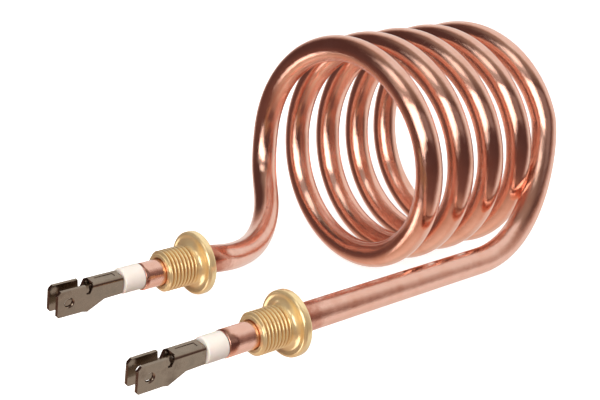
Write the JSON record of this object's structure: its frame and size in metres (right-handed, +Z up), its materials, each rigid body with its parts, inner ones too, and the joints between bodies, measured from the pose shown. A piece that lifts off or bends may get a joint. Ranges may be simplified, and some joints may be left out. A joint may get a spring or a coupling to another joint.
{
  "type": "coiled immersion heating element",
  "caption": "Coiled tubular electric heating element with a copper sheath, threaded brass flange fittings, ceramic end bushings and twin flat-tab terminals on parallel legs.",
  "frame": {"origin": "on the floor plane below the middle of the overall box", "axes": "+Y from the terminals to the rear of the coil, parallel to the coil axis; +X from leg A to leg B; +Z up"},
  "size_m": [0.0786, 0.1454, 0.0637],
  "materials": {
    "copper": "polished copper",
    "magnesia": "compacted white powder",
    "resistance_wire": "drawn wire",
    "brass": "turned and polished brass",
    "braze": "heat-stained braze",
    "ceramic": "white glazed ceramic",
    "seal": "cured silicone",
    "pin_steel": "bright drawn steel",
    "tab_steel": "satin nickelled sheet steel"
  },
  "bodies": {
    "root": {"copper_sheath": "copper", "magnesia_filling": "magnesia", "resistance_coil": "resistance_wire", "brass_fitting_a": "brass", "braze_ring_a": "braze", "ceramic_bushing_a": "ceramic", "end_seal_a": "seal", "terminal_pin_a": "pin_steel", "twin_tab_terminal_a": "tab_steel", "brass_fitting_b": "brass", "braze_ring_b": "braze", "ceramic_bushing_b": "ceramic", "end_seal_b": "seal", "terminal_pin_b": "pin_steel", "twin_tab_terminal_b": "tab_steel"}
  },
  "joints": []
}
